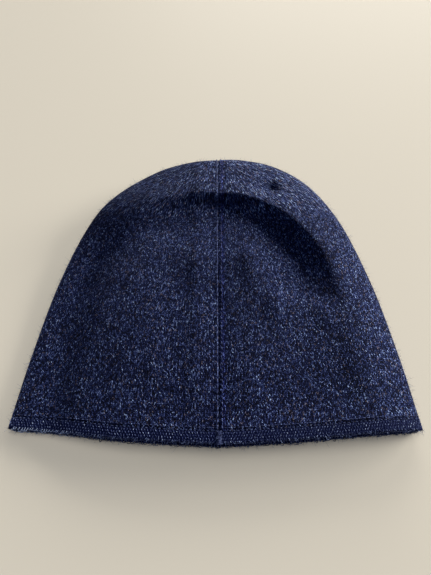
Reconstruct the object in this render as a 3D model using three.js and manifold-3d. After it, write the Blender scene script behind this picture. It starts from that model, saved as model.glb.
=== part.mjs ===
// A fine-gauge knit beanie lying flat on its back face, with its mouth at -Y and its crown at +Y.
// It is two layers thick all round: a shell and a lining, each sewn from a left and a right half.
// One seam runs up the middle of the upper face, over the crown and down the under face.
// A narrow knitted band closes the two layers at the hem. Millimetres, +Z up, resting on z = 0.

import * as THREE from 'three';
import { ParametricGeometry } from 'three/addons/geometries/ParametricGeometry.js';
import { mergeVertices } from 'three/addons/utils/BufferGeometryUtils.js';
import Module from 'manifold-3d';

const wasm = await Module();
wasm.setup();

// Outline of the flat hat: half width at the hem, length of the sides and crown above the hem's corners
const hemHalfWidth = 122.8;
const crownLength = 212;
const hemBow = 7.6;             // how far the middle of the hem lies in front of its corners
const hemBowPower = 1.5;        // nearly straight arms with a soft middle
const crownTilt = 0.05;         // the right shoulder lies a little higher than the left
const seamX = 2;                // the seam lies just right of the middle

// Cloth, and the room between pieces that touch
const shellThickness = 1.6;
const liningThickness = 1.2;
const layerGap = 0.4;
const threadGap = 0.3;
const threadSize = 0.8;
const bandHeight = 6;
const grooveWidth = threadSize + 2 * threadGap;
const wallThickness = shellThickness + layerGap + liningThickness;

// Heights of the laid hat
const hemHeight = 12.4;         // over both faces at the hem, mouth a little open
const middleHeight = 13;        // sagging middle of the upper face
const sideHeight = 15;          // soft roll along the sides
const crownHeight = 25;         // puffed rim of the crown
const crownFoldHeight = 11;     // height of the crown's outermost line
const crownFoldRadius = 14;

// Fineness of the solids
const loopSteps = 44;
const courseSteps = 20;
const courseCrowding = 1.5;     // courses lie closer together towards the crown
const outlineSteps = 120;
const hemSteps = 16;

const { lerp, smoothstep } = THREE.MathUtils;

// ---------------------------------------------------------------- the hat's form

const sideShape = [[hemHalfWidth, 0], [118, 47], [109, 100], [94, 150], [75, 181], [48, 202], [22, 210.5]];
const outline = new THREE.SplineCurve([
	...sideShape.map(([x, y]) => new THREE.Vector2(x, y)),
	new THREE.Vector2(0, crownLength),
	...sideShape.toReversed().map(([x, y]) => new THREE.Vector2(-x, y)),
]);
const sideLength = outline.getLength() / 2;

// Point of the right-hand outline at a share of the way from the hem (0) to the crown's middle (1);
// below 0 it runs straight on past the hem
function outlinePoint(share, inset) {
	const at = Math.max(share, 0) / 2;
	const tangent = outline.getTangentAt(at);
	const point = outline.getPointAt(at).addScaledVector(tangent, Math.min(share, 0) * sideLength);
	return point.add(new THREE.Vector2(-tangent.y, tangent.x).multiplyScalar(inset));
}

const firstShare = -0.09;
const rim = Array.from({ length: outlineSteps + 1 }, (_, i) => outlinePoint(lerp(firstShare, 1, i / outlineSteps), 0));

// Distance from a point of the plan to the fold that runs round the sides and crown
function foldDistance(x, y) {
	const point = new THREE.Vector3(Math.abs(x), y, 0);
	const segment = new THREE.Line3();
	const nearest = new THREE.Vector3();
	let least = Infinity;
	for (let i = 0; i < outlineSteps; i ++) {
		segment.start.set(rim[i].x, rim[i].y, 0);
		segment.end.set(rim[i + 1].x, rim[i + 1].y, 0);
		segment.closestPointToPoint(point, true, nearest);
		least = Math.min(least, nearest.distanceTo(point));
	}
	return least;
}

// Height of the upper face: a rim that grows from the hem to the crown, round a sagging middle
function upperHeight(y, distance) {
	const alongSide = smoothstep(y, 5, 110);
	const alongCrown = smoothstep(y, 90, 190);
	const rimHeight = lerp(lerp(hemHeight, sideHeight, alongSide), crownHeight, alongCrown);
	const floorHeight = lerp(hemHeight, middleHeight, alongSide);
	const crest = lerp(10, 16, alongCrown);
	const slopeEnd = lerp(36, 50, alongCrown);
	return lerp(rimHeight, floorHeight, smoothstep(distance, crest, slopeEnd));
}

// Round shoulder of a fold: 0 at the fold, 1 from its radius inwards
function roundOff(distance, radius) {
	const t = THREE.MathUtils.clamp(distance / radius, 0, 1);
	return Math.sqrt(1 - (1 - t) ** 2);
}

// Everything inside the hat's outer surface, moved inwards by a depth, as one solid. Its courses are
// closed loops round the hat, and its wales run from the hem to the middle of the crown.
function hatSolid(depth) {
	const point = (u, v, target) => {
		const ring = Math.max(Math.round(v * (courseSteps + 1)) - 1, 0);
		const share = lerp(1, firstShare, (1 - ring / courseSteps) ** courseCrowding);
		const side = outlinePoint(share, depth);
		const across = v === 0 ? 0 : Math.cos(2 * Math.PI * u);
		const x = side.x * across;
		const middleY = lerp(-hemBow, crownLength - depth, share);
		const y = lerp(middleY, side.y, share < 0 ? 1 : across ** 2);
		const distance = foldDistance(x, y);
		const alongCrown = smoothstep(y, 40, 190);
		const foldHeight = lerp(hemHeight / 2, crownFoldHeight, alongCrown);
		const upper = upperHeight(y, distance) - depth;
		const shoulder = roundOff(distance - depth, lerp(hemHeight / 2, crownFoldRadius, alongCrown) - depth);
		const heel = roundOff(distance - depth, foldHeight - depth);
		const onTop = v === 0 ? 0.5 : (u > 0.5 && u < 1 ? 1 : 0);
		const top = lerp(foldHeight, upper, shoulder);
		const under = lerp(foldHeight, depth, heel);
		const z = lerp(under, top, onTop);
		target.set(x, y + crownTilt * x * smoothstep(y, 158, 200), z);
	};
	return solidOf(new ParametricGeometry(point, loopSteps, courseSteps + 1));
}

// ---------------------------------------------------------------- solids from geometry and back

function solidOf(geometry) {
	geometry.deleteAttribute('normal');
	geometry.deleteAttribute('uv');
	const merged = mergeVertices(geometry, 1e-4);
	const index = merged.index.array;
	const triVerts = [];
	for (let i = 0; i < index.length; i += 3) {
		const [a, b, c] = index.slice(i, i + 3);
		if (a !== b && b !== c && c !== a) triVerts.push(a, b, c);
	}
	return new wasm.Manifold(new wasm.Mesh({
		numProp: 3,
		vertProperties: merged.attributes.position.array,
		triVerts: new Uint32Array(triVerts),
	}));
}

function meshOf(name, solid, material) {
	const { vertProperties, triVerts } = solid.getMesh();
	const geometry = new THREE.BufferGeometry();
	geometry.setAttribute('position', new THREE.BufferAttribute(vertProperties, 3));
	geometry.setIndex(new THREE.BufferAttribute(triVerts, 1));
	geometry.computeVertexNormals();
	const mesh = new THREE.Mesh(geometry, material);
	mesh.name = name;
	return mesh;
}

const layer = (from, to) => hatSolid(from).subtract(hatSolid(to));

// ---------------------------------------------------------------- regions that cut the layers into pieces

const tall = 60;
const wide = 300;

// Edge of the hem in plan, a height above it measured along the hat
function hemY(x, above) {
	return above - hemBow * (1 - Math.min(Math.abs(x) / hemHalfWidth, 1) ** hemBowPower);
}

// Strip of the plan that follows the hem, from one height above it to another
function hemStrip(from, to) {
	const xs = Array.from({ length: hemSteps + 1 }, (_, i) => lerp(-wide / 2, wide / 2, i / hemSteps));
	const near = xs.map((x) => new THREE.Vector2(x, hemY(x, from)));
	const far = xs.map((x) => new THREE.Vector2(x, to === Infinity ? wide : hemY(x, to)));
	const shape = new THREE.Shape([...near, ...far.toReversed()]);
	const geometry = new THREE.ExtrudeGeometry(shape, { depth: tall, bevelEnabled: false });
	return solidOf(geometry.translate(0, 0, -tall / 4));
}

function block(fromX, toX, fromZ, toZ) {
	const geometry = new THREE.BoxGeometry(toX - fromX, 2 * wide, toZ - fromZ);
	return solidOf(geometry.translate((fromX + toX) / 2, 0, (fromZ + toZ) / 2));
}

const leftSide = block(-wide, seamX - grooveWidth / 2, -tall, tall);
const rightSide = block(seamX + grooveWidth / 2, wide, -tall, tall);
const inSeam = block(seamX - threadSize / 2, seamX + threadSize / 2, -tall, tall);
const aboveMiddle = block(-wide, wide, hemHeight / 2, tall);
const belowMiddle = block(-wide, wide, -tall, hemHeight / 2);

const cloth = hemStrip(bandHeight + grooveWidth, Infinity);
const band = hemStrip(0, bandHeight);
const bandGroove = hemStrip(bandHeight + threadGap, bandHeight + threadGap + threadSize);
const hemEdge = hemStrip(-threadGap - threadSize, -threadGap);

// ---------------------------------------------------------------- materials

const knit = (color) => new THREE.MeshStandardMaterial({ color, roughness: 0.95, metalness: 0 });
const shellKnit = 0x1d2440;
const liningKnit = 0x171e38;
const bandKnit = 0x1b2445;
const navyThread = 0x3a4878;
const paleThread = 0x8fa0c8;

// ---------------------------------------------------------------- sub-parts

function shellHalves() {
	const shell = layer(0, shellThickness).intersect(cloth);
	return [
		meshOf('shell_left_half', shell.intersect(leftSide), knit(shellKnit)),
		meshOf('shell_right_half', shell.intersect(rightSide), knit(shellKnit)),
	];
}

function liningHalves() {
	const lining = layer(shellThickness + layerGap, wallThickness).intersect(cloth);
	return [
		meshOf('lining_left_half', lining.intersect(leftSide), knit(liningKnit)),
		meshOf('lining_right_half', lining.intersect(rightSide), knit(liningKnit)),
	];
}

function hemBandHalves() {
	const ring = layer(0, wallThickness).intersect(band);
	return [
		meshOf('hem_band_left', ring.intersect(leftSide), knit(bandKnit)),
		meshOf('hem_band_right', ring.intersect(rightSide), knit(bandKnit)),
	];
}

// Each seam's thread lies in the groove between its two halves, half way through the cloth
function seamThread(name, clothDepth, clothThickness) {
	const depth = clothDepth + (clothThickness - threadSize) / 2;
	const thread = layer(depth, depth + threadSize).intersect(cloth).intersect(inSeam);
	return meshOf(name, thread, knit(navyThread));
}

// Each row of hem stitches runs once round the hat, in the groove between the band and a layer
function hemStitchRow(name, clothDepth, clothThickness) {
	const depth = clothDepth + (clothThickness - threadSize) / 2;
	return meshOf(name, layer(depth, depth + threadSize).intersect(bandGroove), knit(navyThread));
}

// Whipped edge of the band, in front of its cut end
function hemOverlock() {
	const depth = (wallThickness - threadSize) / 2;
	return meshOf('hem_overlock_thread', layer(depth, depth + threadSize).intersect(hemEdge), knit(paleThread));
}

// Short tack that closes the band's two halves where the seam meets the hem, on each face
function bandTacks() {
	const tack = layer(threadGap, wallThickness - threadGap).intersect(band).intersect(inSeam);
	return [
		meshOf('band_tack_upper', tack.intersect(aboveMiddle), knit(navyThread)),
		meshOf('band_tack_under', tack.intersect(belowMiddle), knit(navyThread)),
	];
}

const liningDepth = shellThickness + layerGap;
const beanie = new THREE.Group();
beanie.add(
	...shellHalves(),
	...liningHalves(),
	...hemBandHalves(),
	seamThread('centre_seam_thread', 0, shellThickness),
	seamThread('lining_seam_thread', liningDepth, liningThickness),
	hemStitchRow('hem_stitch_row', 0, shellThickness),
	hemStitchRow('lining_hem_stitch_row', liningDepth, liningThickness),
	hemOverlock(),
	...bandTacks(),
);

// The origin is under the middle of the hat
const reach = new THREE.Box3().setFromObject(beanie);
beanie.position.set(-(reach.min.x + reach.max.x) / 2, -(reach.min.y + reach.max.y) / 2, -reach.min.z);

export default beanie;
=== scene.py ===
import math
import random
from bisect import bisect_left

import bmesh
import bpy
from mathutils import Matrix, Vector, noise
from mathutils.kdtree import KDTree


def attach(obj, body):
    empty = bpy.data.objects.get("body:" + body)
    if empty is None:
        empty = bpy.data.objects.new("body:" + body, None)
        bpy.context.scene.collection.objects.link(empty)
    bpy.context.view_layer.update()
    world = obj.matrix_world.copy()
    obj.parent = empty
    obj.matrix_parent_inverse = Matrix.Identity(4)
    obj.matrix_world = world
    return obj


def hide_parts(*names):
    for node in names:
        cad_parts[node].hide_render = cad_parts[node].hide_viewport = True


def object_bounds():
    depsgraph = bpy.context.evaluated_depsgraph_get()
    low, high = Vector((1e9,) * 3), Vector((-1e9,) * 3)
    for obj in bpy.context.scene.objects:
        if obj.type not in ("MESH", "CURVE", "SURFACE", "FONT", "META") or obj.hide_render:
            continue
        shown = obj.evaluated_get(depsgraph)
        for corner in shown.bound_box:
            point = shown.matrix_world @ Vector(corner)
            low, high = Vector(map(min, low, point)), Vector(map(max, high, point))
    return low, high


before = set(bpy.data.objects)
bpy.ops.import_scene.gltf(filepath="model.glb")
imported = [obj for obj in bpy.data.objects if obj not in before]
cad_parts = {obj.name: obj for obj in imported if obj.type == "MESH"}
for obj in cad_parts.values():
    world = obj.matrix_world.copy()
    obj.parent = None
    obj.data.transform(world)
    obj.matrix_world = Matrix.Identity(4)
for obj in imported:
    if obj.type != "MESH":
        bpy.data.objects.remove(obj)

# A fine-gauge knit beanie lying flat: hem towards -Y, crown towards +Y, resting on z = 0.
# The hat's form is worked out in millimetres from the hem's corners, then put into the frame in metres.

mm = 0.001
cadLow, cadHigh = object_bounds()
scene = bpy.context.scene

hat = {
    "halfWidth": 122.8,      # at the hem
    "length": 213.4,         # hem corners to the middle of the crown
    "hemBow": 7.6,           # the hem's middle lies this far in front of its corners
    "bowPower": 1.2,
    "tilt": 0.05,            # right shoulder a little higher than the left
    "seamX": 2.0,
    "seamGap": 0.04,         # between the halves, where they are sewn
    "bandHeight": 6.2,
    "hemHeight": 12.4,
    "crownFold": 9.6,        # height of the crown's outermost line
    "crownRadius": 14.0,
}
crownPastCad = 1.05      # the crown's outline lies this far past the CAD's
sidePoints = [(118, 47), (109, 100), (94, 150), (75, 181), (48, 202.6), (22, 211.8)]
hemCornerY = cadHigh.y - (hat["length"] - crownPastCad) * mm


# camera, floor and light

view = {"lens": 27.05, "sensor": 36, "inFront": 0.0493, "height": 0.271, "tip": 29}


def addCamera():
    data = bpy.data.cameras.new("camera")
    data.lens = view["lens"]
    data.sensor_width = view["sensor"]
    cam = bpy.data.objects.new("camera", data)
    cam.location = (0, hemCornerY - view["inFront"], view["height"])
    cam.rotation_euler = (math.radians(view["tip"]), 0, 0)
    scene.collection.objects.link(cam)
    scene.camera = cam


studio = {
    "floorSize": 4,
    "floorRoughness": 0.6,
    "floorSpecular": 0.1,
    "floorColor": (0.52, 0.478, 0.393, 1),
    "lights": [
        {"name": "backWindow", "azimuth": 76, "rise": 11, "away": 6, "size": (4.6, 2.0), "power": 470,
         "color": (1.0, 0.97, 0.92)},
        {"name": "sideWindow", "azimuth": 26, "rise": 11, "away": 6, "size": (3.2, 2.0), "power": 690,
         "color": (1.0, 0.97, 0.92)},
        {"name": "ceiling", "azimuth": 60, "rise": 84, "away": 3, "size": (3.0, 3.0), "power": 78,
         "color": (1.0, 0.98, 0.95), "floorOnly": True},
    ],
    "sky": (0.46, 0.6, 0.95, 1),
    "skyStrength": 0.19,
}


def addWindow(look):
    data = bpy.data.lights.new(look["name"], "AREA")
    data.shape = "RECTANGLE"
    data.size, data.size_y = look["size"]
    data.energy = look["power"]
    data.color = look["color"]
    lamp = bpy.data.objects.new(look["name"], data)
    azimuth, rise = math.radians(look["azimuth"]), math.radians(look["rise"])
    way = Vector((math.cos(azimuth) * math.cos(rise), math.sin(azimuth) * math.cos(rise), math.sin(rise)))
    lamp.location = way * look["away"]
    lamp.rotation_euler = (-way).to_track_quat("-Z", "Y").to_euler()
    scene.collection.objects.link(lamp)
    return lamp


def addStudio():
    bm = bmesh.new()
    bmesh.ops.create_grid(bm, x_segments=1, y_segments=1, size=studio["floorSize"])
    mesh = bpy.data.meshes.new("floor")
    bm.to_mesh(mesh)
    bm.free()
    floor = bpy.data.objects.new("floor", mesh)
    scene.collection.objects.link(floor)
    mat = bpy.data.materials.new("floor_white")
    mat.use_nodes = True
    shader = mat.node_tree.nodes["Principled BSDF"]
    shader.inputs["Base Color"].default_value = studio["floorColor"]
    shader.inputs["Roughness"].default_value = studio["floorRoughness"]
    shader.inputs["Specular IOR Level"].default_value = studio["floorSpecular"]
    mesh.materials.append(mat)
    onFloor = bpy.data.collections.new("lit_by_ceiling")
    onFloor.objects.link(floor)
    for look in studio["lights"]:
        lamp = addWindow(look)
        if "floorOnly" in look:
            lamp.light_linking.receiver_collection = onFloor
    world = bpy.data.worlds.new("sky")
    world.use_nodes = True
    background = world.node_tree.nodes["Background"]
    background.inputs["Color"].default_value = studio["sky"]
    background.inputs["Strength"].default_value = studio["skyStrength"]
    scene.world = world
    scene.view_settings.view_transform = "Standard"


addCamera()
addStudio()
print("camera, floor and lights: ready")


# the hat's form

def mix(a, b, t):
    return a + (b - a) * t


def clamp(value, low=0.0, high=1.0):
    return max(low, min(high, value))


def ease(value, start, end):      # from 0 at the start to 1 at the end, either way round
    t = clamp((value - start) / (end - start))
    return t * t * (3 - 2 * t)


def bump(value, middle, width):      # a smooth hump, 1 at its middle
    return math.exp(-((value - middle) / width) ** 2)


def catmull(a, b, c, d, t):      # a smooth curve from b to c
    square = 2 * a - 5 * b + 4 * c - d
    cube = 3 * b - a - 3 * c + d
    return 0.5 * (2 * b + (c - a) * t + square * t * t + cube * t ** 3)


stepsPerKnot = 60


def traceOutline():      # right corner of the hem, over the crown, to the left corner
    side = [Vector((hat["halfWidth"], 0))] + [Vector(p) for p in sidePoints]
    knots = side + [Vector((0, hat["length"]))] + [Vector((-p.x, p.y)) for p in reversed(side)]
    ahead = [2 * knots[0] - knots[1]] + knots + [2 * knots[-1] - knots[-2]]
    line = []
    for i in range(len(knots) - 1):
        line += [catmull(*ahead[i:i + 4], step / stepsPerKnot) for step in range(stepsPerKnot)]
    return line + [knots[-1]]


outline = traceOutline()
outlineRun = [0.0]
for a, b in zip(outline, outline[1:]):
    outlineRun.append(outlineRun[-1] + (b - a).length)


def outlineAt(run):      # point and way out along the outline, which runs straight on below the hem
    i = int(clamp(bisect_left(outlineRun, run), 1, len(outline) - 1))
    step = outline[i] - outline[i - 1]
    t = (run - outlineRun[i - 1]) / (outlineRun[i] - outlineRun[i - 1])
    out = Vector((step.y, -step.x)).normalized()
    return outline[i - 1] + step * t, out


def runAtHeight(y):      # where the right side reaches a height above the hem's corner
    if y <= 0:
        return y
    i = next(k for k, p in enumerate(outline) if p.y >= y)
    t = (y - outline[i - 1].y) / (outline[i].y - outline[i - 1].y)
    return mix(outlineRun[i - 1], outlineRun[i], t)


fullRun = outlineRun[-1]
foldSteps = 1500
foldTree = KDTree(foldSteps + 1)
foldSamples = []
for k in range(foldSteps + 1):
    foldSamples.append(outlineAt(mix(-25, fullRun / 2 + 6, k / foldSteps)))
    foldTree.insert((*foldSamples[-1][0], 0), k)
foldTree.balance()
print("outline:", round(fullRun), "mm round the sides and crown")


def foldDistance(x, y):      # distance in to the fold round the sides and crown, and the way out to it
    _, k, _ = foldTree.find((abs(x), y, 0))
    point, out = foldSamples[k]
    inward = -(Vector((abs(x), y)) - point).dot(out)
    return max(inward, 0), Vector((math.copysign(out.x, x), out.y))


def roundOff(distance, radius):
    t = clamp(distance / radius)
    return math.sqrt(1 - (1 - t) ** 2)


form = {
    "leftFold": 4.6,         # height of the left side fold
    "sideCrest": (16.6, 26.0),      # the rim's crest at right: height, distance in from the fold
    "leftCrest": (5.4, 14.0),
    "crownCrest": (20.6, 46.0),
    "leftNearer": 5.0,       # on the crown's left part the crest lies this much nearer to the fold
    "shoulder": 0.8,         # the crest is this much higher at the right shoulder
    "trough": 13.3,          # height of the hollow inside the crest
    "crownTrough": 14.6,
    "middle": 16.0,          # height of the middle of the face
    "leftFall": (7.2, 3.0),  # the face falls away towards the left: by how much, and how late
    "dimple": -3.2,
    "leftHemUp": (2.4, 2.0),      # the hem is drawn up at its left corner: upper face, under face
    "rightHemUp": 0.9,
    "leftHemOut": 1.1,
}


def towardsCrown(y):
    return ease(y, 40, 190)


def foldHeight(x, y):
    atSide = mix(form["leftFold"], hat["hemHeight"] / 2, ease(x, -60, 60))
    return mix(atSide, hat["crownFold"], towardsCrown(y))


def rimHeight(x, y, distance):      # up from the fold to a crest that runs round the sides and crown
    right = ease(x, -50, 20)
    alongCrown = ease(y, 105, 195)
    sideHeight, sideIn = form["sideCrest"]
    leftHeight, leftIn = form["leftCrest"]
    crownHeight, crownIn = form["crownCrest"]
    crownHeight += form["shoulder"] * bump(x, 62, 36)
    crownIn -= form["leftNearer"] * ease(x, 0, -45)
    rightCrest = mix(mix(hat["hemHeight"], sideHeight, ease(y, 0, 60)), crownHeight, ease(y, 78, 150))
    leftCrest = mix(mix(hat["hemHeight"], leftHeight, ease(x, 0, -80)), crownHeight, ease(y, 112, 172))
    crest = mix(leftCrest, rightCrest, right)
    crestIn = mix(mix(leftIn, sideIn + 6 * ease(y, 85, 40), right), crownIn, alongCrown)
    lift = max(ease(y, 2, 36), 1 - bump(x, 0, 60))
    roundness = mix(1, mix(0.14, mix(0.55, 0.72, right), alongCrown), lift)
    radius = mix(hat["hemHeight"] / 2, mix(6, 12, alongCrown), lift)
    t = clamp(distance / crestIn)
    slope = mix(t, math.sin(math.pi / 2 * t), max(right, alongCrown))
    rise = roundness * roundOff(distance, radius) + (1 - roundness) * slope
    return mix(foldHeight(x, y), crest, rise), crest, crestIn


def upperHeight(x, y, distance):
    rim, crest, crestIn = rimHeight(x, y, distance)
    right = ease(x, -50, 20)
    fall, late = form["leftFall"]
    middle = mix(hat["hemHeight"], form["middle"], ease(y, -20, 90)) - fall * (max(-x, 0) / 100) ** late
    middle += 4 * ease(x, -25, -85) * ease(y, 95, 150)
    hollow = mix(ease(y, 96, 130) * 0.9, ease(y, 75, 89), right)
    atCrown = bump(x, 0, 38) * ease(y, 120, 160)
    trough = mix(middle - 0.3, mix(form["trough"], form["crownTrough"], atCrown), hollow)
    besideSeam = bump(x, 2, 26) * ease(y, 140, 160)
    slopeWidth = mix(mix(24, 21 - 5 * bump(x, 38, 20), right), 8, besideSeam)
    inward = clamp((distance - crestIn) / slopeWidth)
    inward = 1.4 * inward * inward / (inward + 0.4)      # the crest is rounded
    swell = ease(distance, crestIn + 0.7 * slopeWidth, crestIn + slopeWidth + 34)
    return rim - (crest - trough) * (1 - (1 - inward) ** 2) + (middle - trough) * swell


# soft folds on the upper face: two ends, half width, height
creases = [
    ((-10, 112), (2, 118), 13, 1.7),
    ((25, 116), (38, 82), 11, 2.2),
    ((66, 86), (72, 70), 7, 0.9),
    ((-40, 128), (-58, 98), 8, 1.0),
    ((-70, 122), (-92, 92), 8, -1.1),
    ((2, 84), (2, 78), 4, -0.9),
]


def creaseHeight(x, y):
    here = Vector((x, y))
    total = 0
    for start, end, width, height in creases:
        start = Vector(start)
        run = Vector(end) - start
        t = clamp((here - start).dot(run) / run.length_squared)
        total += height * bump((here - start - run * t).length, 0, width)
    return total


def softFolds(x, y, distance):      # how the knit sags and wrinkles on the upper face
    inside = ease(distance, 4, 22) * ease(y, 2, 26)
    allowance = clamp((2.5 - x) / 16.5) * ease(x, -22, -12)      # beside the seam, at left
    seamRoll = 0.9 * allowance - 0.5 * bump(x, 5.5, 4) + 0.6 * bump(x, 23, 7)
    wander = 0.5 * noise.noise(Vector((x / 34, y / 60, 3.1)))
    wander += 0.3 * noise.noise(Vector((x / 13, y / 24, 8.4)))
    dimple = form["dimple"] * bump(x, 43, 5) * bump(y, 176, 5)
    return inside * (seamRoll + wander + creaseHeight(x, y)) + dimple


def facePoint(x, y, upper, depth):      # a point of the hat, a depth inside its outer surface
    distance, _ = foldDistance(x, y)
    if upper:
        level = upperHeight(x, y, max(distance - depth, 0)) + softFolds(x, y, distance)
        z = level - depth * roundOff(distance - max(depth, 0), 5)
    else:
        fold = foldHeight(x, y)
        z = mix(fold, depth, roundOff(distance - depth, fold - depth))
    upperUp, underUp = form["leftHemUp"]
    leftUp = upperUp if upper else underUp
    y += ease(y, 28, 0) * (leftUp * ease(x, -50, -105) + form["rightHemUp"] * ease(x, 40, 100))
    x -= form["leftHemOut"] * ease(x, -60, -115)
    return Vector((x, y + hat["tilt"] * x * ease(y, 158, 200), max(z, 0.1)))


def toFrame(point):
    return Vector((point.x * mm, hemCornerY + point.y * mm, point.z * mm))


# where the knit's wales and courses lie

gauge = {
    "wales": 70,             # from the middle of a face to its side fold
    "course": 1.22,          # millimetres between courses
    "straightFrom": 118,     # above here the wales stop drawing together
    "crownFrom": 150,        # above here they run to the middle of the crown
    "crownPole": 219,
    "turn": 12,              # half the length over which they start to draw together
    "underOffset": 400,      # so that the under face doesn't repeat the upper one
}


def knitAt(x, y):      # wale and course numbers, on the cloth as it would lie unrolled from the fold
    distance, out = foldDistance(x, y)
    radius = mix(hat["hemHeight"] / 2, hat["crownFold"], towardsCrown(y))
    if distance < radius:
        angle = math.acos(1 - distance / radius)
        extra = radius * (math.pi / 2 - angle) - (radius - distance)
        x, y = x + out.x * extra, y + out.y * extra
    edge, _ = outlineAt(runAtHeight(clamp(y, 0, gauge["straightFrom"])))
    pitch = (edge.x + 0.57 * radius) / gauge["wales"]
    past, turn = y - gauge["crownFrom"], gauge["turn"]
    rise = max(past + turn, 0) ** 2 / (4 * turn) if past < turn else past
    draw = max(1 - rise / (gauge["crownPole"] - gauge["crownFrom"]), 0.02)
    course = (y + hat["hemBow"] * (1 - min(abs(x) / hat["halfWidth"], 1) ** 2)) / gauge["course"]
    return x / (pitch * draw), course


# cloth panels: one half of a layer, from the seam round the side fold to the seam underneath

def foldSpacing(run, width, radius):      # plan distance in from the fold, for a distance over the cloth
    quarter = radius * math.pi / 2
    return radius * (1 - math.cos(run / radius)) if run < quarter else radius + run - quarter


def panelPoint(side, around, along, rowEnds):
    seamEdge = hat["seamX"] + side * hat["seamGap"]
    seamY, edge = rowEnds(along)
    width = max(edge.x - side * seamEdge, 0.05)
    radius = min(mix(hat["hemHeight"] / 2, hat["crownRadius"], towardsCrown(seamY)), 0.6 * width)
    whole = width - radius + radius * math.pi / 2
    share = 1 - foldSpacing(abs(1 - 2 * around) * whole, width, radius) / width
    return seamEdge + side * width * share, mix(seamY, edge.y, clamp(share) ** hat["bowPower"])


def clothPanel(name, side, look, rowEnds, lift=None):
    bm = bmesh.new()
    uvLayer = bm.loops.layers.uv.new("knit")
    bmesh.ops.create_grid(bm, x_segments=look["columns"], y_segments=look["rows"], size=0.5)
    thick = bm.verts.layers.deform.verify()
    places = {}
    for vert in bm.verts:
        around, along = vert.co.x + 0.5, vert.co.y + 0.5
        x, y = panelPoint(side, around, along, rowEnds)
        distance, _ = foldDistance(x, y)
        vert[thick][0] = mix(look["atFold"], 1, ease(distance, 0.5, 8))
        rise = lift(x, y, around, along) if lift else 0
        vert.co = toFrame(facePoint(x, y, around < 0.5, look["depth"] - rise))
        places[vert] = (around, *knitAt(x, y))
    for face in bm.faces:
        under = sum(places[vert][0] for vert in face.verts) / len(face.verts) > 0.5
        for loop in face.loops:
            _, wale, course = places[loop.vert]
            loop[uvLayer].uv = (wale + gauge["underOffset"] * under, course)
    if side < 0:
        bmesh.ops.reverse_faces(bm, faces=bm.faces)
    bmesh.ops.remove_doubles(bm, verts=bm.verts, dist=0.02 * mm)
    mesh = bpy.data.meshes.new(name)
    bm.to_mesh(mesh)
    bm.free()
    mesh.shade_smooth()
    obj = bpy.data.objects.new(name, mesh)
    scene.collection.objects.link(obj)
    obj.vertex_groups.new(name="thick")
    wall = obj.modifiers.new("wall", "SOLIDIFY")
    wall.thickness = look["thickness"] * mm
    wall.offset = -1
    wall.vertex_group = "thick"
    return obj


def finishPiece(obj, material, slotName, *nodes):
    obj.data.materials.clear()
    obj.data.materials.append(material)
    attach(obj, "root")
    if nodes:
        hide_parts(*nodes)


# materials

def mathNode(tree, operation, *values):
    node = tree.nodes.new("ShaderNodeMath")
    node.operation = operation
    for socket, value in zip(node.inputs, values):
        if isinstance(value, (int, float)):
            socket.default_value = value
        else:
            tree.links.new(value, socket)
    return node.outputs[0]


def combine(tree, x, y, z=0.0):
    node = tree.nodes.new("ShaderNodeCombineXYZ")
    for socket, value in zip(node.inputs, (x, y, z)):
        if isinstance(value, (int, float)):
            socket.default_value = value
        else:
            tree.links.new(value, socket)
    return node.outputs[0]


def noiseNode(tree, vector, scale, detail=2.0, roughness=0.5):
    node = tree.nodes.new("ShaderNodeTexNoise")
    node.inputs["Scale"].default_value = scale
    node.inputs["Detail"].default_value = detail
    node.inputs["Roughness"].default_value = roughness
    tree.links.new(vector, node.inputs["Vector"])
    return node.outputs["Fac"]


def whiteNode(tree, vector):
    node = tree.nodes.new("ShaderNodeTexWhiteNoise")
    node.noise_dimensions = "3D"
    tree.links.new(vector, node.inputs["Vector"])
    return node.outputs["Value"]


def rampNode(tree, value, stops):
    node = tree.nodes.new("ShaderNodeValToRGB")
    ramp = node.color_ramp
    while len(ramp.elements) < len(stops):
        ramp.elements.new(0.5)
    for element, (position, color) in zip(ramp.elements, stops):
        element.position = position
        element.color = (*color, 1)
    tree.links.new(value, node.inputs["Fac"])
    return node.outputs["Color"]


def mixColor(tree, blend, factor, a, b):
    node = tree.nodes.new("ShaderNodeMix")
    node.data_type = "RGBA"
    node.blend_type = blend
    for socket, value in ((node.inputs["Factor"], factor), (node.inputs["A"], a), (node.inputs["B"], b)):
        if isinstance(value, (int, float)):
            socket.default_value = value
        elif isinstance(value, tuple):
            socket.default_value = (*value, 1)
        else:
            tree.links.new(value, socket)
    return next(socket for socket in node.outputs if socket.type == "RGBA")


def newMaterial(name, look):
    mat = bpy.data.materials.new(name)
    mat.use_nodes = True
    shader = mat.node_tree.nodes["Principled BSDF"]
    shader.inputs["Roughness"].default_value = look["roughness"]
    shader.inputs["Specular IOR Level"].default_value = look["specular"]
    shader.inputs["Sheen Weight"].default_value = look["sheen"]
    shader.inputs["Sheen Roughness"].default_value = 0.5
    shader.inputs["Sheen Tint"].default_value = (*look["sheenTint"], 1)
    return mat, mat.node_tree, shader


def addBump(tree, shader, height, distance, strength=1.0):
    node = tree.nodes.new("ShaderNodeBump")
    node.inputs["Distance"].default_value = distance
    node.inputs["Strength"].default_value = strength
    tree.links.new(height, node.inputs["Height"])
    tree.links.new(node.outputs["Normal"], shader.inputs["Normal"])


def objectPosition(tree):
    return tree.nodes.new("ShaderNodeTexCoord").outputs["Object"]


def across(tree, position):
    split = tree.nodes.new("ShaderNodeSeparateXYZ")
    tree.links.new(position, split.inputs[0])
    return split.outputs["X"]


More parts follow.
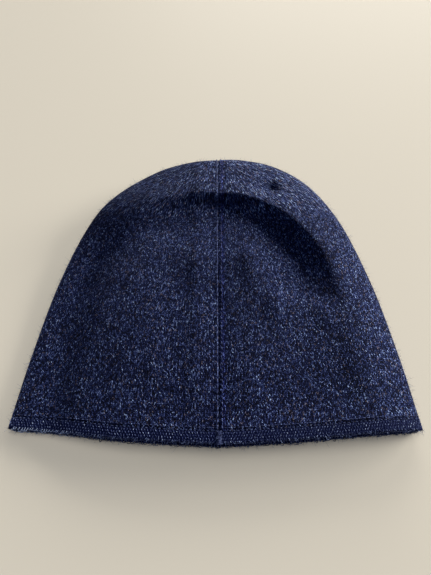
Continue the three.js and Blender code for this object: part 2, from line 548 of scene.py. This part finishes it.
def stitchPattern(tree, look):      # wale and course numbers, and the height of the V-shaped stitches
    uv = tree.nodes.new("ShaderNodeUVMap")
    uv.uv_map = "knit"
    split = tree.nodes.new("ShaderNodeSeparateXYZ")
    tree.links.new(uv.outputs["UV"], split.inputs[0])
    wale, course = split.outputs["X"], split.outputs["Y"]
    # wales are knitted together in pairs at two courses near the crown
    first = mathNode(tree, "GREATER_THAN", course, look["pairedFrom"])
    second = mathNode(tree, "GREATER_THAN", course, look["pairedAgain"])
    share = mathNode(tree, "MULTIPLY_ADD", first, -0.5, 1.0)
    share = mathNode(tree, "MULTIPLY_ADD", second, -0.25, share)
    u = mathNode(tree, "MULTIPLY", wale, share)
    # two slanted legs either side of the wale's middle
    fromMiddle = mathNode(tree, "MULTIPLY_ADD", mathNode(tree, "FRACT", u), 2.0, -1.0)
    fromMiddle = mathNode(tree, "ABSOLUTE", fromMiddle)
    v = mathNode(tree, "MULTIPLY_ADD", fromMiddle, -look["slant"], course)
    legs = mathNode(tree, "SINE", mathNode(tree, "MULTIPLY", fromMiddle, math.pi))
    strands = mathNode(tree, "SINE", mathNode(tree, "MULTIPLY", mathNode(tree, "FRACT", v), math.pi))
    strands = mathNode(tree, "MULTIPLY_ADD", strands, 0.65, 0.35)
    height = mathNode(tree, "MULTIPLY", mathNode(tree, "POWER", legs, 0.7), strands)
    return u, v, course, height


def heatherColor(tree, look, u, v):      # each leg has its own shade, which drifts along each course
    leg = mathNode(tree, "FLOOR", mathNode(tree, "MULTIPLY", u, 2.0))
    row = mathNode(tree, "FLOOR", v)
    fleck = whiteNode(tree, combine(tree, leg, row, 0.5))
    along = combine(tree, mathNode(tree, "MULTIPLY", u, 0.3), mathNode(tree, "MULTIPLY", row, 0.9))
    drift = mathNode(tree, "MULTIPLY", noiseNode(tree, along, 1.0, 2.0, 0.6), 1 - look["fleck"])
    yarn = rampNode(tree, mathNode(tree, "MULTIPLY_ADD", fleck, look["fleck"], drift), look["yarns"])
    warm = mathNode(tree, "GREATER_THAN", whiteNode(tree, combine(tree, leg, row, 7.5)), look["warmFrom"])
    warm = mathNode(tree, "MULTIPLY", warm, look["warmShare"])
    return mixColor(tree, "MIX", warm, yarn, look["warmYarn"])


def fibreSpecks(tree, look, u, v, course):      # bright fibre tips, longer over the crown, and brighter there as a painted highlight
    overCrown = mathNode(tree, "GREATER_THAN", course, look["longFrom"])
    perCourse = mathNode(tree, "MULTIPLY_ADD", overCrown, -1.3, 2.0)
    cell = combine(tree, mathNode(tree, "FLOOR", mathNode(tree, "MULTIPLY", u, look["specksPerWale"])),
                   mathNode(tree, "FLOOR", mathNode(tree, "MULTIPLY", v, perCourse)), 3.5)
    speck = mathNode(tree, "POWER", whiteNode(tree, cell), look["speckPower"])
    # over the crown the specks get brighter: painted highlight where the crown catches the light
    brightest = mathNode(tree, "MULTIPLY_ADD", overCrown, look["crownSpeckHighlight"], look["speck"])
    return mathNode(tree, "MULTIPLY_ADD", speck, brightest, look["speckFloor"])


yarnShade = {
    "cloudScale": 55.0,
    "cloud": (0.35, 0.82),
    # painted shade beside the seam: how fast it fades out, per metre, and how dark it is at its middle
    "seamShadeEdge": 400,           # per metre
    "seamShadeTone": 0.6,
    "red": (1.45, 1.15),
    "green": (1.25, 1.08),
    "blue": 0.81,
    "fibreScale": 2600.0,
    "fibreRelief": 0.35,
}


def softPower(tree, value, dark, bright):      # one power below 1 and another above it
    below = mathNode(tree, "POWER", value, dark)
    return mathNode(tree, "MINIMUM", below, mathNode(tree, "POWER", value, bright))


def knitMaterial(name, look):
    mat, tree, shader = newMaterial(name, look)
    u, v, course, height = stitchPattern(tree, look)
    yarn = heatherColor(tree, look, u, v)
    position = objectPosition(tree)
    # painted shade in the gaps between the stitches' legs
    paintedGapShade = mathNode(tree, "POWER", height, 1.5)
    paintedGapShade = mathNode(tree, "MULTIPLY_ADD", paintedGapShade, 1 - look["gapShade"], look["gapShade"])
    cloud = noiseNode(tree, position, yarnShade["cloudScale"], 3.0)
    cloud = mathNode(tree, "MULTIPLY_ADD", cloud, *yarnShade["cloud"])
    specks = fibreSpecks(tree, look, u, v, course)
    dim = mathNode(tree, "MULTIPLY", mathNode(tree, "MULTIPLY", paintedGapShade, cloud), specks)
    # painted shade beside the seam, where the seam's ridge shades the cloth: darker and bluer there
    apart = mathNode(tree, "ABSOLUTE", mathNode(tree, "SUBTRACT", across(tree, position), look["seamShadeX"]))
    seamShadeFade = mathNode(tree, "MINIMUM", mathNode(tree, "MULTIPLY", apart, yarnShade["seamShadeEdge"]), 1.0)
    tone = yarnShade["seamShadeTone"]
    seamShaded = mathNode(tree, "MULTIPLY", dim, mathNode(tree, "MULTIPLY_ADD", seamShadeFade, 1 - tone, tone))
    # the darker the yarn and the painted shade on it, the bluer it is
    red = softPower(tree, seamShaded, *yarnShade["red"])
    green = softPower(tree, seamShaded, *yarnShade["green"])
    blue = mathNode(tree, "POWER", dim, yarnShade["blue"])
    color = mixColor(tree, "MULTIPLY", 1.0, yarn, combine(tree, red, green, blue))
    tree.links.new(color, shader.inputs["Base Color"])
    fibre = noiseNode(tree, position, yarnShade["fibreScale"], 1.0)
    fibre = mathNode(tree, "MULTIPLY_ADD", fibre, yarnShade["fibreRelief"], height)
    addBump(tree, shader, fibre, look["relief"])
    return mat


def threadMaterial(name, look):
    mat, tree, shader = newMaterial(name, look)
    position = objectPosition(tree)
    tone = noiseNode(tree, position, look["patch"], 3.0, 0.6)
    if "rimLightLeft" in look:      # painted rim light: paler from here towards the left
        start, gain = look["rimLightLeft"]
        tone = mathNode(tree, "SUBTRACT", tone, -start * gain)
        toLeft = mathNode(tree, "MINIMUM", across(tree, position), start)
        tone = mathNode(tree, "MULTIPLY_ADD", toLeft, -gain, tone)
    color = rampNode(tree, tone, look["shades"])
    tree.links.new(color, shader.inputs["Base Color"])
    addBump(tree, shader, noiseNode(tree, position, 2400.0, 2.0), 0.0004)
    return mat


navySheen = (0.45, 0.55, 0.95)
shellKnit = knitMaterial("shell_knit", {
    "roughness": 0.92, "specular": 0.06, "sheen": 0.04, "sheenTint": navySheen,
    "pairedFrom": 154, "pairedAgain": 169, "slant": 0.9, "relief": 0.0007,
    "fleck": 0.8, "gapShade": 0.03, "seamShadeX": 0.0048, "specksPerWale": 4.0,
    "speck": 9.4, "speckPower": 2.8, "speckFloor": 0.1, "longFrom": 132, "crownSpeckHighlight": 5.0,
    "yarns": [(0.17, (0.0024, 0.0045, 0.028)), (0.47, (0.0095, 0.0156, 0.071)),
              (0.74, (0.031, 0.046, 0.152)), (0.9, (0.078, 0.115, 0.275))],
    "warmFrom": 0.9, "warmShare": 0.55, "warmYarn": (0.05, 0.042, 0.062),
})
liningKnit = knitMaterial("lining_knit", {
    "roughness": 0.92, "specular": 0.06, "sheen": 0.04, "sheenTint": navySheen,
    "pairedFrom": 154, "pairedAgain": 169, "slant": 0.9, "relief": 0.0005,
    "fleck": 0.4, "gapShade": 0.3, "seamShadeX": 0.0048, "specksPerWale": 4.0,
    "speck": 2.5, "speckPower": 2.0, "speckFloor": 0.4, "longFrom": 132, "crownSpeckHighlight": 0.0,
    "yarns": [(0.2, (0.006, 0.008, 0.03)), (0.5, (0.014, 0.018, 0.055)), (0.85, (0.03, 0.038, 0.09))],
    "warmFrom": 0.97, "warmShare": 0.55, "warmYarn": (0.05, 0.04, 0.05),
})
bandKnit = threadMaterial("band_knit", {
    "roughness": 0.9, "specular": 0.06, "sheen": 0.04, "sheenTint": navySheen, "patch": 900,
    "shades": [(0.3, (0.002, 0.004, 0.025)), (0.55, (0.006, 0.01, 0.05)), (0.75, (0.02, 0.03, 0.09))],
})
seamThread = threadMaterial("seam_thread", {
    "roughness": 0.8, "specular": 0.3, "sheen": 0.15, "sheenTint": navySheen, "patch": 700,
    "shades": [(0.35, (0.005, 0.01, 0.055)), (0.5, (0.024, 0.036, 0.12)), (0.68, (0.15, 0.19, 0.37))],
})
edgeThread = threadMaterial("edge_thread", {
    "roughness": 0.85, "specular": 0.3, "sheen": 0.2, "sheenTint": navySheen, "patch": 1100,
    "shades": [(0.38, (0.003, 0.008, 0.05)), (0.48, (0.012, 0.022, 0.1)), (0.56, (0.06, 0.09, 0.24)),
               (0.65, (0.42, 0.5, 0.7))],
})
# thread of the loops along the cut edge, with painted rim light that makes it pale towards the left
rimLitThread = threadMaterial("rim_lit_thread", {
    "roughness": 0.85, "specular": 0.2, "sheen": 0.2, "sheenTint": navySheen, "patch": 500,
    "rimLightLeft": (-0.06, 5.0),
    "shades": [(0.42, (0.006, 0.01, 0.05)), (0.52, (0.03, 0.042, 0.13)), (0.62, (0.2, 0.26, 0.45)),
               (0.75, (0.6, 0.7, 0.9))],
})
print("materials: ready")


# shell and lining

# atFold is the share of the thickness that is left round the side folds
shellCloth = {"columns": 240, "rows": 170, "depth": 0.0, "thickness": 1.3, "atFold": 1,
              "dip": 0.3, "dipWidth": 1.2}
liningCloth = {"columns": 110, "rows": 80, "depth": 1.9, "thickness": 1.0, "atFold": 1}
bandCloth = {"columns": 620, "rows": 8, "depth": 0.0, "thickness": 2.8, "atFold": 0.25,
             "ribs": 156, "ribHeight": 0.15, "ribLean": 0.6}


def layerRows(side, depth):      # rows from just above the band up to where the outline meets the seam
    start = runAtHeight(hat["bandHeight"])
    seamEdge = hat["seamX"] + side * hat["seamGap"]
    end = fullRun / 2 - side * seamEdge
    pole = hat["length"] - depth
    span = pole + hat["hemBow"] - hat["bandHeight"]
    radius = hat["crownRadius"]

    def rowEnds(along):
        point, out = outlineAt(mix(start, end, along))
        point = point - out * depth
        run = (1 - along) * (span - radius + radius * math.pi / 2)
        return pole - foldSpacing(run, span, radius), point

    return rowEnds


def bandRows(along):
    above = hat["bandHeight"] * along
    return above - hat["hemBow"], outlineAt(runAtHeight(above))[0]


def seamDip(x, y, around, along):      # the halves turn in where they are sewn
    return -shellCloth["dip"] * bump(x, hat["seamX"], shellCloth["dipWidth"])


def bandRibs(x, y, around, along):      # whipped bars, leaning a little, over a padded edge
    turns = around * bandCloth["ribs"] + along * bandCloth["ribLean"]
    rib = 0.5 + 0.5 * math.cos(2 * math.pi * turns)
    return bandCloth["ribHeight"] * rib * math.sin(math.pi * clamp(along, 0.02, 0.98))


def addLayers():
    for side, word in ((-1, "left"), (1, "right")):
        shell = clothPanel(f"shell_{word}", side, shellCloth, layerRows(side, 0), seamDip)
        finishPiece(shell, shellKnit, "shell_knit", f"shell_{word}_half")
        lining = clothPanel(f"lining_{word}", side, liningCloth, layerRows(side, liningCloth["depth"]))
        finishPiece(lining, liningKnit, "lining_knit", f"lining_{word}_half")
        band = clothPanel(f"band_{word}", side, bandCloth, bandRows, bandRibs)
        finishPiece(band, bandKnit, "band_knit", f"hem_band_{word}")


addLayers()
print("shell, lining and band: ready")


# threads: each stitch is a short bead of thread

def threadPiece(name, paths, radius, sides=1, tips=0.45):
    curve = bpy.data.curves.new(name, "CURVE")
    curve.dimensions = "3D"
    curve.bevel_depth = radius * mm
    curve.bevel_resolution = sides
    curve.use_fill_caps = True
    for path in paths:
        spline = curve.splines.new("POLY")
        spline.points.add(len(path) - 1)
        for i, (knot, point) in enumerate(zip(spline.points, path)):
            place = toFrame(point)
            knot.co = (place.x, place.y, max(place.z, radius * mm), 1)
            knot.radius = tips if i in (0, len(path) - 1) else 1
    holder = bpy.data.objects.new(name + "_curve", curve)
    scene.collection.objects.link(holder)
    mesh = bpy.data.meshes.new_from_object(holder.evaluated_get(bpy.context.evaluated_depsgraph_get()))
    mesh.name = name
    mesh.shade_smooth()
    bpy.data.objects.remove(holder)
    bpy.data.curves.remove(curve)
    obj = bpy.data.objects.new(name, mesh)
    scene.collection.objects.link(obj)
    return obj


seamStart = hat["bandHeight"] - hat["hemBow"] + 1      # just above the band's middle
seamHalf = hat["length"] - seamStart - hat["crownRadius"] + hat["crownRadius"] * math.pi / 2


def seamPoint(run, x, depth):      # from the upper hem (0), over the crown, to the hem underneath
    span = hat["length"] - seamStart
    y = hat["length"] - foldSpacing(abs(seamHalf - run), span, hat["crownRadius"])
    return facePoint(x, y, run < seamHalf, depth)


# two rows on the shell and one on the lining
seamRows = [
    {"aside": -0.9, "depth": -0.05, "length": 2.5, "lean": 0.5},
    {"aside": 1.9, "depth": 0.0, "length": 1.7, "lean": -0.4},
]
liningSeamRow = {"aside": 0, "depth": 2.95, "length": 2.4, "lean": 0}
seamStitch = {"pitch": 3.4, "arch": 0.25, "radius": 0.36, "liningRadius": 0.3}


def seamStitches(row):
    paths = []
    x = hat["seamX"] + row["aside"]
    count = int(2 * seamHalf / seamStitch["pitch"])
    for k in range(count):
        run = (k + 0.5) * 2 * seamHalf / count
        stitch = []
        for t in (-0.5, -0.2, 0.2, 0.5):
            arch = seamStitch["arch"] * (1 - (2 * t) ** 2)
            stitch.append(seamPoint(run + t * row["length"], x + row["lean"] * t, row["depth"] - arch))
        paths.append(stitch)
    return paths


def hemPoint(side, around, above, depth):
    x, y = panelPoint(side, around, above / hat["bandHeight"], bandRows)
    return facePoint(x, y, around < 0.5, depth)


hemRows = [{"above": 6.6, "depth": 0.0, "count": 100, "share": 0.62},
           {"above": 8.4, "depth": 0.0, "count": 100, "share": 0.62}]
liningHemRow = {"above": 6.7, "depth": 3.0, "count": 70, "share": 0.6}
hemStitch = {"arch": 0.2, "radius": 0.26, "liningRadius": 0.3}


def hemStitches(row):
    paths = []
    for side in (-1, 1):
        for k in range(row["count"]):
            middle = (k + 0.5) / row["count"]
            stitch = []
            for t in (-0.5, 0, 0.5):
                around = clamp(middle + t * row["share"] / row["count"])
                arch = hemStitch["arch"] if t == 0 else 0
                stitch.append(hemPoint(side, around, row["above"], row["depth"] - arch))
            paths.append(stitch)
    return paths


overlock = {
    "count": 150,            # on each half
    "rows": (5.3, 3.7, 2.1),
    "radius": 0.25,
    "clearOfFold": 0.02,     # no loops round the side folds
}


def overlockLoops():      # rows of short slanted stitches, and loops that turn round the cut edge
    rng = random.Random(5)
    count = overlock["count"]
    paths = []
    for side in (-1, 1):
        for k in range(count):
            for row, above in enumerate(overlock["rows"]):
                middle = (k + 0.5 * (row % 2) + rng.uniform(0.1, 0.4)) / count
                lean = rng.uniform(-0.15, 0.5) / count
                reach = rng.uniform(0.55, 0.85)
                stitch = []
                for t in (-1, 0, 1):
                    depth = 0.12 - 0.3 * (1 - t * t)
                    stitch.append(hemPoint(side, clamp(middle + lean * t), above + reach * t, depth))
                paths.append(stitch)
            middle = (k + rng.uniform(0.1, 0.6)) / count
            if abs(middle - 0.5) < overlock["clearOfFold"]:
                continue
            over = rng.uniform(0.0, 0.7)
            turn = ((1.2, 0.0), (0.2, 0.0), (-over, 0.9), (-over, 2.0), (0.2, 2.8), (2.6, 2.9))
            paths.append([hemPoint(side, middle, above, depth) for above, depth in turn])
    return paths


edgeLoops = {"count": 150, "radius": 0.22, "foot": 0.8, "reach": (0.2, 1.7), "clearOfFold": 0.02}


def edgeChain():      # slack loops standing out along the cut edge
    rng = random.Random(8)
    count, foot = edgeLoops["count"], edgeLoops["foot"]
    paths = []
    for side in (-1, 1):
        for k in range(count):
            middle = (k + rng.uniform(0.2, 0.8)) / count
            if abs(middle - 0.5) < edgeLoops["clearOfFold"]:
                continue
            reach = rng.uniform(*edgeLoops["reach"]) * rng.random() + 0.2
            wide = rng.uniform(0.5, 1.0) / count
            loop = []
            for t in (-1, -0.75, -0.3, 0.3, 0.75, 1):
                above = foot - (foot + reach) * math.cos(t * math.pi / 2)
                loop.append(hemPoint(side, clamp(middle + t * wide), above, 0.2 + 0.6 * t))
            paths.append(loop)
    return paths


tack = {"strands": 12, "from": -0.6, "to": 6.4, "halfWidth": 1.8, "stray": 0.5, "radius": 0.26}


def bandTack(upper):
    rng = random.Random(11 if upper else 12)
    paths = []
    for k in range(tack["strands"]):
        y = mix(tack["from"], tack["to"], k / (tack["strands"] - 1)) - hat["hemBow"]
        path = []
        for t in (-1, -0.4, 0.4, 1):
            x = hat["seamX"] + tack["halfWidth"] * t + rng.uniform(-tack["stray"], tack["stray"])
            path.append(facePoint(x, y + 0.4 * t, upper, -0.2 - 0.35 * (1 - t * t)))
        paths.append(path)
    return paths


def addThreads():
    seamPaths = seamStitches(seamRows[0]) + seamStitches(seamRows[1])
    seam = threadPiece("seam_stitches", seamPaths, seamStitch["radius"])
    finishPiece(seam, seamThread, "seam_thread", "centre_seam_thread")
    inner = threadPiece("lining_seam_stitches", seamStitches(liningSeamRow), seamStitch["liningRadius"])
    finishPiece(inner, seamThread, "seam_thread", "lining_seam_thread")
    hemPaths = hemStitches(hemRows[0]) + hemStitches(hemRows[1])
    rows = threadPiece("hem_stitches", hemPaths, hemStitch["radius"])
    finishPiece(rows, seamThread, "seam_thread", "hem_stitch_row")
    innerRow = threadPiece("lining_hem_stitches", hemStitches(liningHemRow), hemStitch["liningRadius"])
    finishPiece(innerRow, seamThread, "seam_thread", "lining_hem_stitch_row")
    edge = threadPiece("hem_overlock", overlockLoops(), overlock["radius"], tips=0.6)
    finishPiece(edge, edgeThread, "edge_thread", "hem_overlock_thread")
    loops = threadPiece("hem_edge_loops", edgeChain(), edgeLoops["radius"], tips=0.6)
    finishPiece(loops, rimLitThread, "edge_thread")
    for upper, word in ((True, "upper"), (False, "under")):
        knot = threadPiece(f"tack_{word}", bandTack(upper), tack["radius"])
        finishPiece(knot, seamThread, "seam_thread", f"band_tack_{word}")


addThreads()
print("threads: ready")


# loose fibres along the hem

hemFibres = {"count": 700, "length": (0.8, 3.0), "radius": 0.045, "lowest": 0.1}


def fibrePath(root, way, curl, length):
    return [root + (way * t + curl * t * t) * length for t in (0, 0.35, 0.7, 1)]


def hemFuzz():
    rng = random.Random(21)
    paths = []
    for _ in range(hemFibres["count"]):
        side = rng.choice((-1, 1))
        around = rng.random()
        above = rng.uniform(-0.4, 0.6)
        root = hemPoint(side, around, above, rng.uniform(0, 2.5))
        way = Vector((rng.gauss(0, 0.7), -1, rng.gauss(0, 0.4))).normalized()
        curl = Vector((rng.gauss(0, 0.5), rng.gauss(0, 0.4), rng.gauss(0, 0.3)))
        path = fibrePath(root, way, curl, rng.uniform(*hemFibres["length"]))
        for point in path:
            point.z = max(point.z, hemFibres["lowest"])
        paths.append(path)
    piece = threadPiece("hem_fuzz", paths, hemFibres["radius"], sides=0, tips=0.3)
    finishPiece(piece, edgeThread, "edge_thread")


foldFibres = {"count": 1100, "length": (1.3, 2.4), "radius": 0.04, "rootIn": 0.8}


def foldFuzz():
    rng = random.Random(22)
    rootIn = foldFibres["rootIn"]
    paths = []
    for _ in range(foldFibres["count"]):
        edge, out = outlineAt(rng.uniform(0, fullRun))
        root = facePoint(edge.x - out.x * rootIn, edge.y - out.y * rootIn, True, 0.2)
        x, y = out.x + rng.gauss(0, 0.5), out.y + rng.gauss(0, 0.5)
        way = Vector((x, y, rng.gauss(0.2, 0.5))).normalized()
        curl = Vector((rng.gauss(0, 0.6), rng.gauss(0, 0.6), rng.gauss(0, 0.4)))
        paths.append(fibrePath(root, way, curl, rng.uniform(*foldFibres["length"])))
    piece = threadPiece("fold_fuzz", paths, foldFibres["radius"], sides=0, tips=0.3)
    finishPiece(piece, edgeThread, "edge_thread")


hemFuzz()
foldFuzz()
print("fibres: ready")
